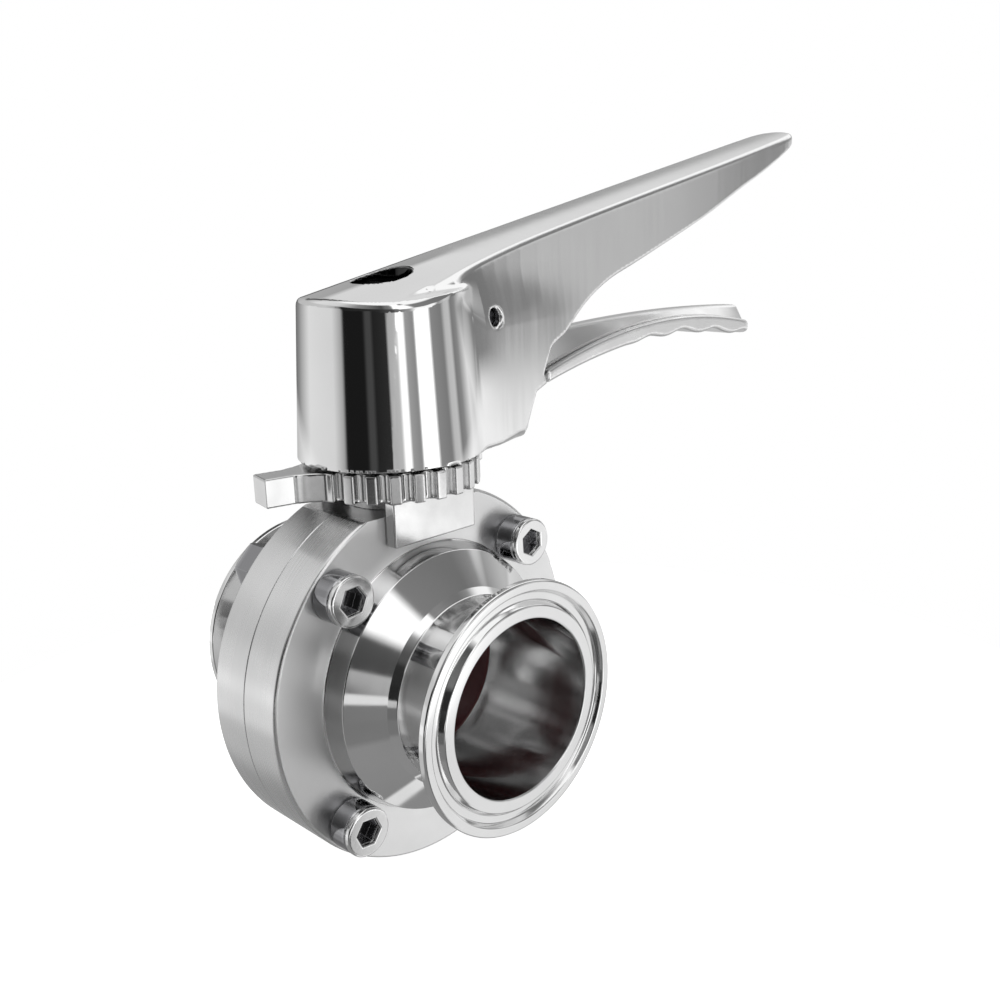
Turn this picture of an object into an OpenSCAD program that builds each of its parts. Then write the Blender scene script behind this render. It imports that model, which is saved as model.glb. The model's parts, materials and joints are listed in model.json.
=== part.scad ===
// Clamp-end butterfly valve with a squeeze-lever handle on a notched locking plate.
// The pipe runs along Y, the stem along +Z, and the handle points along +X with the disc closed.
// The origin is where the pipe axis and the stem axis cross.

/* [Ports] */
// Inside diameter of the pipe bore
bore_d = 35.5; // [34.8:0.1:35.8]
// Outside diameter of the clamp ferrule
ferrule_d = 50.5; // [50:0.1:51]
// Outside diameter of the tube neck
neck_d = 38.1; // [38:0.05:39]
// Length over both ferrule faces
face_to_face = 71; // [70:0.5:76]

/* [Body] */
// Outside diameter of the two flanges
flange_d = 78; // [76:0.5:80]
// Thickness of one flange, from the joint to its face
flange_t = 10; // [9.5:0.25:11]
// Height of the flat on top of the flanges
flat_z = 35.8; // [35.4:0.1:36.2]
// Diameter of the raised boss on each flange
boss_d = 56; // [55:0.5:56]
// Height of the boss above the flange face
boss_h = 4.6; // [4:0.2:5]
// Circle that the four body bolts stand on
bolt_circle_d = 67; // [66.5:0.25:67.5]

/* [Seat and disc] */
// Outside diameter of the silicone seat
seat_d = 48; // [46:0.5:50]
// Length of the seat along the pipe
seat_w = 16; // [15:0.5:17]
// How far the seat stands into the bore, all round
seat_proud = 0.15; // [0.1:0.05:0.2]
// Gap left between the disc's rim and the seat
disc_gap = 0.15; // [0.1:0.05:0.3]
// Thickness of the disc at its rim
disc_t = 4; // [3:0.5:5]
// Diameter of the upper stem
stem_d = 12; // [11:0.5:12]
// Diameter of the lower trunnion
trunnion_d = 10; // [9:0.5:11]

/* [Notch plate] */
// Outside diameter over the teeth
plate_d = 35.6; // [35:0.2:36]
// Height of the toothed ring's underside
plate_z = 38.9; // [38.7:0.1:39.1]
// Thickness of the toothed ring
plate_t = 5.7; // [5.5:0.1:5.8]
// Number of notches round the ring
notches = 24; // [20:4:28]
// Direction of the ear, round the stem
ear_angle = 168; // [160:1:180]

/* [Handle] */
// Diameter of the hub at its foot
hub_foot_d = 37.3; // [37:0.1:38]
// Diameter of the hub where its top plane crosses the stem axis
hub_top_d = 32.8; // [32:0.1:33.4]
// Height of the hub's foot
hub_z = 45.3; // [45.2:0.1:45.6]
// Height of the handle's top plane on the stem axis
top_z = 80.4; // [80:0.1:81]
// Rise of the top plane along the arm, in degrees
arm_rise = 11.5; // [10:0.5:12]
// Distance from the stem axis to the arm's tip
arm_l = 139; // [136:1:142]
// Half width of the slot that the trigger works in
slot_half_w = 8; // [7.8:0.1:8.2]

/* [Trigger] */
// Pivot pin's distance from the stem axis
pivot_x = 17.5; // [17:0.1:18]
// Pivot pin's height
pivot_z = 71.2; // [70.8:0.1:71.6]
// Diameter of the pivot pin
pin_d = 3.2; // [3:0.1:3.4]
// Half width of the finger grip
grip_half_w = 7.2; // [6.8:0.1:7.3]
// Distance from the stem axis to the grip's tip
grip_l = 121; // [118:1:123]
// Gap left between the locking tooth and the teeth of the plate
tooth_gap = 0.8; // [0.7:0.05:1]

/* [Hidden] */
$fn = 96;

bore_r = bore_d / 2;
half_l = face_to_face / 2;
ferrule_r = ferrule_d / 2;
neck_r = neck_d / 2;
flange_r = flange_d / 2;
boss_r = boss_d / 2;
seat_r = seat_d / 2;
seat_bore_r = bore_r - seat_proud;
stem_r = stem_d / 2;
trunnion_r = trunnion_d / 2;
running_gap = 0.05;
loose_gap = 0.3;
bush_r = 8;
bush_start_z = seat_r + 0.2;
lower_bush_end_z = 34;
disc_r = seat_bore_r - disc_gap;

// M6 fasteners
screw_r = 3;
screw_hole_r = 3.3;
cap_r = 5;
cap_h = 6;
key_across_flats = 5;
key_depth = 3;
bolt_l = 25;
nut_across_flats = 10;
nut_h = 5;
hex_sides = 6;

// Stem end and hub seat
square_w = 9;
square_z = 47;
stem_top_z = 66;
counterbore_r = 6;
counterbore_z = 71;
lock_washer_t = 1.6;
lock_washer_r = 4.9;
lock_washer_gap = 1.2;

// Notch plate details
notch_r = 1.15;
notch_depth = 2;
collar_r = 9.5;
lug_half_x = 10.5;
lug_t = 2.8;
lug_foot_z = 29.9;
plate_r = plate_d / 2;
plate_top_z = plate_z + plate_t;

// Trigger details
pin_r = pin_d / 2;
grip_start_x = 39;
leg_foot_z = 40.4;
leg_front_x = 19.6;
leg_back_x = 21.2;
tooth_half_w = 0.9;
spring_x = 31;
spring_r = 3;
spring_wire_r = 0.45;
spring_turns = 7;
spring_low_z = 68.2;
spring_high_z = 82.6;

// Height of the handle's top plane at x
function top_plane_z(x) = top_z + x * tan(arm_rise);

// Points round an arc, for outlines
function arc(cx, cy, r, from, to, steps) =
    [for (i = [0:steps]) let (a = from + (to - from) * i / steps) [cx + r * cos(a), cy + r * sin(a)]];

// Finger grip in side view: a wide scalloped pad with a narrower spine standing on it
function arch(x, crown_x, crown_z, flatness) = crown_z - pow(x - crown_x, 2) / flatness;
function ramp(x, from, to) = min(1, max(0, (x - from) / (to - from)));
function pad_top(x) = arch(x, 84.6, 64.4, 286);
function shoulder_top(x) = arch(x, 88, 65.3, 320);
function spine_top(x) = arch(x, 79, 65.9, 990);

// Underside of the pad: deeper towards the tip, with three finger scallops and a rounded end
scallop_pitch = 13.8;
scallop_crest_x = 82;
scallop_h = 0.5;
tip_extra_depth = 0.8;
tip_round_l = 3.5;
tip_round_h = 3;
scallop_fade = [66, 76];
tip_deepens = [85, 106];
function scallops(x) =
    scallop_h * ramp(x, scallop_fade[0], scallop_fade[1]) * cos(360 * (x - scallop_crest_x) / scallop_pitch);
function tip_round(x) = tip_round_h * (1 - sqrt(1 - pow(ramp(x, grip_l - tip_round_l, grip_l), 2)));
function pad_bottom(x) =
    arch(x, 87, 60.7, 364) - tip_extra_depth * ramp(x, tip_deepens[0], tip_deepens[1])
    + tip_round(x) - scallops(x);

// ---------- body halves, seat and bushes ----------

// Turned profile of one half: radius against distance from the joint
rim_t = 1.6;
rim_back_rise = 2.3;
land_r = 20.3;
groove_floor_r = 21.2;
groove_outer_r = 22.7;
groove_depth = 1.3;
cone_top_r = 27;
cone_foot_r = 20.4;
cone_foot_y = 19.6;
edge_bevel = 0.6;
module half_profile() {
    polygon([
        [bore_r, seat_w / 2],
        [bore_r, half_l],
        [land_r, half_l],
        [groove_floor_r, half_l - groove_depth],
        [groove_outer_r, half_l - groove_depth],
        [groove_outer_r + edge_bevel, half_l],
        [ferrule_r - 0.4, half_l],
        [ferrule_r, half_l - 0.4],
        [ferrule_r, half_l - rim_t],
        [neck_r, half_l - rim_t - rim_back_rise],
        [neck_r, cone_foot_y + 1.4],
        [cone_foot_r, cone_foot_y],
        [cone_top_r, flange_t + boss_h],
        [boss_r, flange_t],
        [flange_r - edge_bevel, flange_t],
        [flange_r, flange_t - edge_bevel],
        [flange_r, 0],
        [seat_r, 0],
        [seat_r, seat_w / 2]
    ]);
}

module at_bolt(i) {
    rotate([0, 45 + 90 * i, 0])
        translate([0, 0, bolt_circle_d / 2])
            children();
}

// One half, with its ferrule towards +Y
module body_half() {
    difference() {
        rotate([-90, 0, 0])
            rotate_extrude()
                half_profile();
        translate([-flange_r, -1, flat_z])
            cube([flange_d, flange_t + 2, flange_r]);
        cylinder(r = bush_r, h = flange_r);
        translate([0, 0, -lower_bush_end_z])
            cylinder(r = bush_r, h = lower_bush_end_z);
        for (i = [0:3])
            at_bolt(i)
                rotate([-90, 0, 0])
                    translate([0, 0, -1])
                        cylinder(r = screw_hole_r, h = flange_t + 2);
    }
}

module front_body() {
    color("silver")
        mirror([0, 1, 0])
            body_half();
}

module rear_body() {
    color("silver")
        body_half();
}

module seat_ring() {
    color([0.28, 0.05, 0.06])
        difference() {
            rotate([90, 0, 0])
                cylinder(r = seat_r, h = seat_w, center = true);
            rotate([90, 0, 0])
                cylinder(r = seat_bore_r, h = seat_w + 2, center = true);
            cylinder(r = stem_r + running_gap, h = seat_r + 1);
            translate([0, 0, -seat_r - 1])
                cylinder(r = trunnion_r + running_gap, h = seat_r + 1);
        }
}

module upper_bush() {
    color("ivory")
        translate([0, 0, bush_start_z])
            difference() {
                cylinder(r = bush_r, h = flat_z - bush_start_z);
                translate([0, 0, -1])
                    cylinder(r = stem_r + running_gap, h = flat_z);
            }
}

module lower_bush() {
    color("ivory")
        translate([0, 0, -lower_bush_end_z])
            difference() {
                cylinder(r = bush_r, h = lower_bush_end_z - bush_start_z);
                translate([0, 0, -1])
                    cylinder(r = trunnion_r + running_gap, h = lower_bush_end_z);
            }
}

// ---------- fasteners ----------

// Socket head cap screw along -Z, with the underside of its head at z = 0
module cap_screw(length) {
    socket_r = key_across_flats / 2 / cos(180 / hex_sides);
    cap_bevel = 0.5;
    difference() {
        union() {
            translate([0, 0, -length])
                cylinder(r = screw_r, h = length);
            cylinder(r = cap_r, h = cap_h - cap_bevel);
            translate([0, 0, cap_h - cap_bevel])
                cylinder(r1 = cap_r, r2 = cap_r - cap_bevel, h = cap_bevel);
        }
        translate([0, 0, cap_h - key_depth])
            cylinder(r = socket_r, h = key_depth + 1, $fn = hex_sides);
    }
}

module body_bolt(i) {
    color("gainsboro")
        at_bolt(i)
            translate([0, -flange_t, 0])
                rotate([90, 0, 0])
                    cap_screw(bolt_l);
}

module body_nut(i) {
    nut_r = nut_across_flats / 2 / cos(180 / hex_sides);
    color("gainsboro")
        at_bolt(i)
            translate([0, flange_t, 0])
                rotate([-90, 0, 0])
                    difference() {
                        cylinder(r = nut_r, h = nut_h, $fn = hex_sides);
                        translate([0, 0, -1])
                            cylinder(r = screw_r, h = nut_h + 2);
                    }
}

// ---------- notch plate ----------

module notch() {
    translate([plate_r - notch_depth + notch_r, 0])
        circle(r = notch_r);
    translate([plate_r - notch_depth + notch_r, -notch_r])
        square([notch_depth, 2 * notch_r]);
}

// Ear outline: flares into the ring at its root
ear_l = 28.2;
ear_neck_x = 21.5;
ear_half_w = 3;
ear_root_half_w = 8.3;
ear_root_x = 15.2;
module ear_outline() {
    polygon([
        [ear_root_x, -ear_root_half_w],
        [ear_neck_x, -ear_half_w],
        [ear_l, -ear_half_w],
        [ear_l, ear_half_w],
        [ear_neck_x, ear_half_w],
        [ear_root_x, ear_root_half_w]
    ]);
}

module notch_plate() {
    color("lightgray")
        difference() {
            union() {
                translate([0, 0, plate_z])
                    linear_extrude(plate_t)
                        union() {
                            difference() {
                                circle(r = plate_r);
                                for (i = [0:notches - 1])
                                    rotate(360 * i / notches)
                                        notch();
                            }
                            rotate(ear_angle)
                                ear_outline();
                        }
                translate([0, 0, flat_z])
                    cylinder(r = collar_r, h = plate_z - flat_z + 1);
                for (side = [0, 1])
                    mirror([0, side, 0])
                        translate([-lug_half_x, flange_t, lug_foot_z])
                            cube([2 * lug_half_x, lug_t, plate_z - lug_foot_z]);
            }
            cylinder(r = stem_r + loose_gap, h = plate_top_z + 1);
        }
}

// ---------- disc and stem ----------

// The stem and the trunnion grow out of two bosses near the disc's rim
disc_boss_r = 7.5;
disc_boss_z = 9;
trunnion_end_gap = 0.3;
stem_thread_depth = 14;
module valve_disc() {
    color("silver")
        difference() {
            union() {
                intersection() {
                    sphere(r = disc_r);
                    union() {
                        rotate([90, 0, 0])
                            cylinder(r = disc_r + 1, h = disc_t, center = true);
                        for (end = [0, 1])
                            mirror([0, 0, end])
                                translate([0, 0, disc_boss_z])
                                    cylinder(r = disc_boss_r, h = disc_r);
                    }
                }
                translate([0, 0, disc_boss_z])
                    cylinder(r = stem_r, h = square_z - disc_boss_z);
                translate([0, 0, trunnion_end_gap - lower_bush_end_z])
                    cylinder(r = trunnion_r, h = lower_bush_end_z - trunnion_end_gap - disc_boss_z);
                intersection() {
                    translate([0, 0, disc_boss_z])
                        cylinder(r = stem_r, h = stem_top_z - disc_boss_z);
                    translate([-square_w / 2, -square_w / 2, square_z - 1])
                        cube([square_w, square_w, stem_top_z - square_z + 1]);
                }
            }
            translate([0, 0, stem_top_z - stem_thread_depth])
                cylinder(r = screw_r, h = stem_thread_depth + 1);
        }
}

// ---------- handle ----------

// Side view of the arm and housing, x against z
module handle_side() {
    polygon(concat(
        [[0, hub_z], [27, hub_z], [28.6, hub_z + 1.6], [30, 51.6], [31.4, 54], [35.6, 55.3]],
        [[34.4, 57.4], [35.9, 60.3], [37.8, 63], [42.5, 65.2], [46.6, 68.6]],
        [[49.6, 70.8], [54, 73.4], [60, 76], [70, 79.2]],
        [[93.5, 87.2], [110.5, 93.9], [122, 98.2], [131.5, 102.2], [arm_l, 105.6]],
        [[arm_l, top_plane_z(arm_l)], [0, top_plane_z(0)]]
    ));
}

// Half widths of the slim arm, along x
arm_plan = [[-12, 11], [-4, 13.4], [8, 12.6], [20, 10.9], [34, 9.7], [60, 9], [100, 8.6], [126, 7.6]];
// Half widths of the wide housing under it, along x
housing_plan = [[0, 15], [10, 15], [26, 12.4], [34, 10.6], [46, 9.3]];
tip_r = 5;
module both_sides(half_widths, end_points) {
    polygon(concat(
        [for (p = half_widths) [p[0], -p[1]]],
        end_points,
        [for (i = [len(half_widths) - 1:-1:0]) [half_widths[i][0], half_widths[i][1]]]
    ));
}

module arm_outline() {
    both_sides(arm_plan, concat(
        arc(arm_l - tip_r, -2, tip_r, -70, 0, 6),
        arc(arm_l - tip_r, 2, tip_r, 0, 70, 6)
    ));
}

module side_wall(half_w) {
    translate([0, half_w, 0])
        rotate([90, 0, 0])
            linear_extrude(2 * half_w)
                handle_side();
}

// Space that holds the whole handle, for cutting its outlines together
envelope_half_w = 20;
envelope_h = 130;
// Step where the wide housing ends and the slim arm rises above it
shoulder_z = 77.6;
shoulder_start_x = -10;
module handle_solid() {
    intersection() {
        side_wall(envelope_half_w);
        linear_extrude(envelope_h)
            arm_outline();
    }
    intersection() {
        side_wall(envelope_half_w);
        linear_extrude(shoulder_z)
            both_sides(housing_plan, []);
    }
    difference() {
        translate([0, 0, hub_z])
            cylinder(r1 = hub_foot_d / 2, r2 = hub_top_d / 2, h = top_z - hub_z);
        above_top_plane();
        translate([shoulder_start_x, -envelope_half_w, shoulder_z])
            cube([2 * envelope_half_w, 2 * envelope_half_w, envelope_half_w]);
    }
    intersection() {
        linear_extrude(top_z + 10)
            arm_outline();
        difference() {
            translate([0, 0, shoulder_z - 1])
                cylinder(r = hub_top_d / 2, h = 10);
            above_top_plane();
        }
    }
}

module above_top_plane() {
    translate([0, 0, top_z])
        rotate([0, -arm_rise, 0])
            translate([-40, -25, 0])
                cube([220, 50, 60]);
}

// Channel under the arm and slot through the housing
roof_t = 3;
slot_start_x = 12;
roof_start_x = 26;
channel_plan = [[slot_start_x, slot_half_w], [40, slot_half_w], [52, 7], [60, 6.6], [110, 6], [124, 4.6]];
module handle_slot() {
    intersection() {
        translate([0, envelope_half_w, 0])
            rotate([90, 0, 0])
                linear_extrude(2 * envelope_half_w)
                    polygon([
                        [slot_start_x, 0],
                        [arm_l, 0],
                        [arm_l, top_plane_z(arm_l) - roof_t],
                        [roof_start_x, top_plane_z(roof_start_x) - roof_t],
                        [slot_start_x, pivot_z + 5.5]
                    ]);
        linear_extrude(envelope_h)
            both_sides(channel_plan, []);
    }
}

module handle_body() {
    peg_r = 2;
    peg_l = 2.6;
    spring_seat_r = 3.8;
    color("gainsboro")
        difference() {
            union() {
                difference() {
                    handle_solid();
                    handle_slot();
                }
                translate([spring_x, 0, spring_high_z])
                    cylinder(r = spring_seat_r, h = 3);
                translate([spring_x, 0, spring_high_z - peg_l])
                    cylinder(r = peg_r, h = peg_l + 1);
            }
            translate([0, 0, counterbore_z])
                cylinder(r = counterbore_r, h = 20);
            cylinder(r = screw_hole_r, h = counterbore_z + 1);
            translate([-square_w / 2, -square_w / 2, hub_z - 1])
                cube([square_w, square_w, stem_top_z + loose_gap - hub_z + 1]);
            cylinder(r = stem_r + loose_gap, h = square_z);
            translate([pivot_x, 0, pivot_z])
                rotate([90, 0, 0])
                    cylinder(r = pin_r, h = 40, center = true);
        }
}

module handle_screw() {
    color("gainsboro")
        translate([0, 0, counterbore_z + lock_washer_t])
            cap_screw(16);
}

module screw_washer() {
    color("darkgray")
        translate([0, 0, counterbore_z])
            difference() {
                cylinder(r = lock_washer_r, h = lock_washer_t);
                translate([0, 0, -1])
                    cylinder(r = screw_hole_r - 0.2, h = lock_washer_t + 2);
                translate([0, -lock_washer_gap / 2, -1])
                    cube([lock_washer_r + 1, lock_washer_gap, lock_washer_t + 2]);
            }
}

// ---------- trigger, pin and spring ----------

leg_half_w = 4.5;
spine_half_w = 2.2;
pivot_boss_r = 4.4;
grip_steps = 44;
spine_start_x = 38;
spine_l = grip_l - 1.8;

module extruded_across(half_w) {
    translate([0, half_w, 0])
        rotate([90, 0, 0])
            linear_extrude(2 * half_w)
                children();
}

// Side view of the finger pad, from the housing to its tip
module pad_side() {
    xs = [for (i = [0:grip_steps]) grip_start_x + (grip_l - grip_start_x) * i / grip_steps];
    polygon(concat(
        [for (x = xs) [x, pad_bottom(x)]],
        [for (i = [grip_steps:-1:0]) [xs[i], pad_top(xs[i])]]
    ));
}

// Side view of the spine's low shoulders
module shoulder_side() {
    xs = [for (i = [0:grip_steps]) spine_start_x + (spine_l - spine_start_x) * i / grip_steps];
    polygon(concat(
        [for (x = xs) [x, pad_top(x) - 1.5]],
        [for (i = [grip_steps:-1:0]) [xs[i], shoulder_top(xs[i])]]
    ));
}

// Side view of the spine, with a rounded end
module spine_side() {
    end_r = 1.6;
    xs = [for (i = [0:grip_steps]) spine_start_x + (spine_l - end_r - spine_start_x) * i / grip_steps];
    end_z = spine_top(spine_l - end_r) - end_r;
    polygon(concat(
        [for (x = xs) [x, pad_top(x) - 1.5]],
        [[spine_l, pad_top(spine_l) - 1.5]],
        arc(spine_l - end_r, end_z, end_r, 0, 80, 6),
        [for (i = [grip_steps:-1:0]) [xs[i], spine_top(xs[i])]]
    ));
}

// Plan of the finger pad, with a rounded tip
module pad_plan() {
    corner_r = 5.8;
    polygon(concat(
        [[grip_start_x, -grip_half_w]],
        arc(grip_l - corner_r, -grip_half_w + corner_r, corner_r, -90, 0, 8),
        arc(grip_l - corner_r, grip_half_w - corner_r, corner_r, 0, 90, 8),
        [[grip_start_x, grip_half_w]]
    ));
}

// Side view of the lever inside the housing: pivot boss, neck to the grip, and locking leg
module lever_side() {
    translate([pivot_x, pivot_z])
        circle(r = pivot_boss_r);
    polygon([
        [pivot_x - 3, pivot_z - 3.2],
        [pivot_x + 2.8, pivot_z + 3.4],
        [26, 69.8],
        [36, 69.8],
        [spine_start_x + 3, spine_top(spine_start_x + 3)],
        [spine_start_x + 3, pad_bottom(spine_start_x + 3)],
        [36, 55.6],
        [26, 58.6],
        [leg_back_x, 56],
        [leg_back_x, leg_foot_z],
        [leg_front_x, leg_foot_z]
    ]);
}

module trigger() {
    spring_cup_r = 3.9;
    color("lightgray")
        difference() {
            union() {
                intersection() {
                    extruded_across(grip_half_w)
                        pad_side();
                    linear_extrude(90)
                        pad_plan();
                }
                extruded_across(leg_half_w)
                    shoulder_side();
                extruded_across(spine_half_w)
                    spine_side();
                extruded_across(leg_half_w)
                    lever_side();
                translate([plate_r + tooth_gap, -tooth_half_w, leg_foot_z])
                    cube([2, 2 * tooth_half_w, plate_top_z - leg_foot_z]);
            }
            translate([spring_x, 0, spring_low_z])
                cylinder(r = spring_cup_r, h = 20);
            translate([pivot_x, 0, pivot_z])
                rotate([90, 0, 0])
                    cylinder(r = pin_r + running_gap, h = 20, center = true);
        }
}

module pivot_pin() {
    pin_half_l = 11.6;
    color("silver")
        translate([pivot_x, 0, pivot_z])
            rotate([90, 0, 0])
                cylinder(r = pin_r, h = 2 * pin_half_l, center = true);
}

// Coil of round wire between the trigger's cup and the roof of the arm
module trigger_spring() {
    ring_sides = 6;
    per_turn = 16;
    rings = spring_turns * per_turn;
    low = spring_low_z + spring_wire_r;
    rise = (spring_high_z - spring_low_z - 2 * spring_wire_r) / rings;
    points = [
        for (i = [0:rings])
            for (j = [0:ring_sides - 1])
                let (
                    a = 360 * i / per_turn,
                    b = 360 * j / ring_sides,
                    r = spring_r + spring_wire_r * cos(b)
                )
                [r * cos(a), r * sin(a), low + rise * i + spring_wire_r * sin(b)]
    ];
    sides = [
        for (i = [0:rings - 1])
            for (j = [0:ring_sides - 1])
                let (
                    k = (j + 1) % ring_sides,
                    near = i * ring_sides,
                    far = near + ring_sides
                )
                [near + j, near + k, far + k, far + j]
    ];
    first_end = [for (j = [ring_sides - 1:-1:0]) j];
    last_end = [for (j = [0:ring_sides - 1]) rings * ring_sides + j];
    color("dimgray")
        translate([spring_x, 0, 0])
            polyhedron(points = points, faces = concat(sides, [first_end, last_end]));
}

front_body();
rear_body();
seat_ring();
upper_bush();
lower_bush();
body_bolt(0);  // body_bolt_1
body_bolt(1);  // body_bolt_2
body_bolt(2);  // body_bolt_3
body_bolt(3);  // body_bolt_4
body_nut(0);  // body_nut_1
body_nut(1);  // body_nut_2
body_nut(2);  // body_nut_3
body_nut(3);  // body_nut_4
notch_plate();
valve_disc();
handle_body();
handle_screw();
screw_washer();
trigger();
pivot_pin();
trigger_spring();
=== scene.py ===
"""Finished look of a clamp-end butterfly valve with a squeeze-lever handle.

The pipe runs along Y, the stem along +Z, and the handle points along +X. Shapes are worked out in
millimetres and turned into meshes in metres. Castings are distance functions, so that their edges
and corners are rounded as on the real thing. Turned pieces are profiles spun round their axis.
"""
import itertools
import json
import math

import bpy
import numpy as np
from mathutils import Matrix, Vector


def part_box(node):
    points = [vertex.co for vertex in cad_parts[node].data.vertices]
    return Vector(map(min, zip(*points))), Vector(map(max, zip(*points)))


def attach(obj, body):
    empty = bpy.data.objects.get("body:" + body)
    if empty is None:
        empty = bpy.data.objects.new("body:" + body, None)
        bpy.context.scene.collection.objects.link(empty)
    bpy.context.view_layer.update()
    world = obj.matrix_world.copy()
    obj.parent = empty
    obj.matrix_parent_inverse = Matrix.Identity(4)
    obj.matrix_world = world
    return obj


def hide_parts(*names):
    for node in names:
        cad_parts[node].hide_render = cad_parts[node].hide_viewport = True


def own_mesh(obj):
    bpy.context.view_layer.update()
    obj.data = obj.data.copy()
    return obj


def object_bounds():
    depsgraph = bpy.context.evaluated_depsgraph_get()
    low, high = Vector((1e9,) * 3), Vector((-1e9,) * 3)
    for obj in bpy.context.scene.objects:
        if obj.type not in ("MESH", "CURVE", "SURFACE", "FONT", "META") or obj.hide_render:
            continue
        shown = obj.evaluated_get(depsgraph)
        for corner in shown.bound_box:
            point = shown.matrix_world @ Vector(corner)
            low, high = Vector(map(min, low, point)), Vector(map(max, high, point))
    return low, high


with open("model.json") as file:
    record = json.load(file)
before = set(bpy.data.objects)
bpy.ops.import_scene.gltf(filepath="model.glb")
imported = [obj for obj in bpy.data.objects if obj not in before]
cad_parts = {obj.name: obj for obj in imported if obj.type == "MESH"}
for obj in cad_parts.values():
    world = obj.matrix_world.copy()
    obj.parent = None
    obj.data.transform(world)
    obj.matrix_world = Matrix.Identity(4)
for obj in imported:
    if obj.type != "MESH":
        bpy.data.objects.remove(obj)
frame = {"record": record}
cad_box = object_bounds()

MM = 0.001
SCENE = bpy.context.scene
# Edges of turned pieces that bend by more than this stay sharp
SHARP_ANGLE = math.radians(35)


def box_mm(node):
    """Lowest and highest corner of a CAD node, in millimetres."""
    lo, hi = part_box(node)
    return lo / MM, hi / MM


# ---------- sizes, from the frame where the frame holds them ----------

body_lo, body_hi = box_mm("front_body")
seat_hi = box_mm("seat_ring")[1]
bush_lo, bush_hi = box_mm("upper_bush")
low_bush_lo, low_bush_hi = box_mm("lower_bush")
plate_lo, plate_hi = box_mm("notch_plate")
disc_lo, disc_hi = box_mm("valve_disc")
handle_lo, handle_hi = box_mm("handle_body")
washer_lo, washer_hi = box_mm("screw_washer")
pin_lo, pin_hi = box_mm("pivot_pin")
trigger_lo, trigger_hi = box_mm("trigger")
spring_lo, spring_hi = box_mm("trigger_spring")
nut_lo, nut_hi = box_mm("body_nut_1")

HALF_L = -body_lo.y
FLANGE_R = body_hi.x
FLANGE_T = nut_lo.y
FLAT_Z = body_hi.z
BORE_R = 17.75
FERRULE_R = 25.25
FERRULE_RIM_T = 1.6
FERRULE_BACK = 3.9
GASKET_GROOVE_DEPTH = 1.3
NECK_R = 19.05
BOSS_R = 28
BOSS_H = 4.6
BOLT_CIRCLE_R = 33.5
BUSH_R = bush_hi.x
SEAT_R = seat_hi.x
SEAT_HALF_W = seat_hi.y
SEAT_BORE_R = 17.6

RUNNING_GAP = 0.05
STEM_GAP = 0.3
STEM_R = 6
TRUNNION_R = 5
SQUARE_HALF_W = 4.5
SQUARE_Z = 47
DISC_R = 17.45
DISC_HALF_T = 2
DISC_BOSS_R = 7.5
DISC_BOSS_Z = 9
STEM_TAP_Z = 52

SCREW_R = 3
SCREW_HOLE_R = 3.3
BOLT_L = 25
HANDLE_SCREW_L = 16
WASHER_BORE_R = 3.1
CAP_R = 5
CAP_H = 6
KEY_HALF = 2.5
KEY_DEPTH = 3
THREAD_PITCH = 1
THREAD_DEPTH = 0.45
NUT_HALF = 5
NUT_H = nut_hi.y - nut_lo.y

PLATE_R = 17.8
PLATE_Z = 38.9
PLATE_TOP_Z = plate_hi.z
NOTCHES = 24
NOTCH_R = 1.15
NOTCH_DEPTH = 2
COLLAR_R = 9.5
LUG_HALF_X = 10.5
LUG_T = 2.8
LUG_FOOT_Z = plate_lo.z
EAR_ANGLE = math.radians(168)
EAR_L = 28.2
EAR_HALF_W = 3
EAR_ROOT_START, EAR_ROOT_END = 15.2, 21.5
EAR_ROOT_HALF_W = 6.4

HUB_Z = handle_lo.z
HUB_FOOT_R = -handle_lo.x
HUB_TOP_R = 16.4
TOP_Z = 80.4
ARM_RISE = math.radians(11.5)
ARM_L = handle_hi.x
SHOULDER_Z = 77.6
COUNTERBORE_R = 6
COUNTERBORE_Z = washer_lo.z
# Heights between which the housing's wall leans in until it is the arm's; beside the hub it starts later
LEAN_START_Z, LEAN_START_BY_HUB_Z, LEAN_END_Z = 69, 74, 81.5
ROOF_T = 3
# How the top falls away from its middle
TOP_CROWN = 0.012

PIVOT_X = (pin_lo.x + pin_hi.x) / 2
PIVOT_Z = (pin_lo.z + pin_hi.z) / 2
PIN_R = (pin_hi.x - pin_lo.x) / 2
SPRING_X = (spring_lo.x + spring_hi.x) / 2
SPRING_WIRE_R = 0.45
SPRING_PEG_R = 2
SPRING_PEG_L = 2.6
SPRING_SEAT_R = 3.8
SPRING_CUP_R = 3.9
GRIP_L = trigger_hi.x
GRIP_HALF_W = trigger_hi.y
GRIP_CORNER_R = 5.8
PAD_START_X = 39
PAD_GROOVE_Y = 5.3
PAD_GROOVE_HALF_W = 0.5
PAD_GROOVE_DEPTH = 1.5
SPINE_START_X = 38
SPINE_HALF_W = 2.1
SPINE_FLARE = 2.3
PIVOT_BOSS_R = 4.4
LEVER_HALF_W = 4.5
TOOTH_HALF_W = 0.9
TOOTH_GAP = 0.8


# ---------- distance functions: below zero inside, rounded where they meet ----------

def meet(a, b, r):
    """What both shapes share, with its edge rounded to radius r."""
    return np.minimum(-r, np.maximum(a, b)) + np.hypot(np.maximum(a + r, 0), np.maximum(b + r, 0))


def join(a, b, r):
    """Both shapes together, with a fillet of radius r where they meet."""
    return np.maximum(r, np.minimum(a, b)) - np.hypot(np.maximum(r - a, 0), np.maximum(r - b, 0))


def cut(a, b, r):
    """The first shape without the second, with its new edge rounded to radius r."""
    return meet(a, -b, r)


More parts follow.
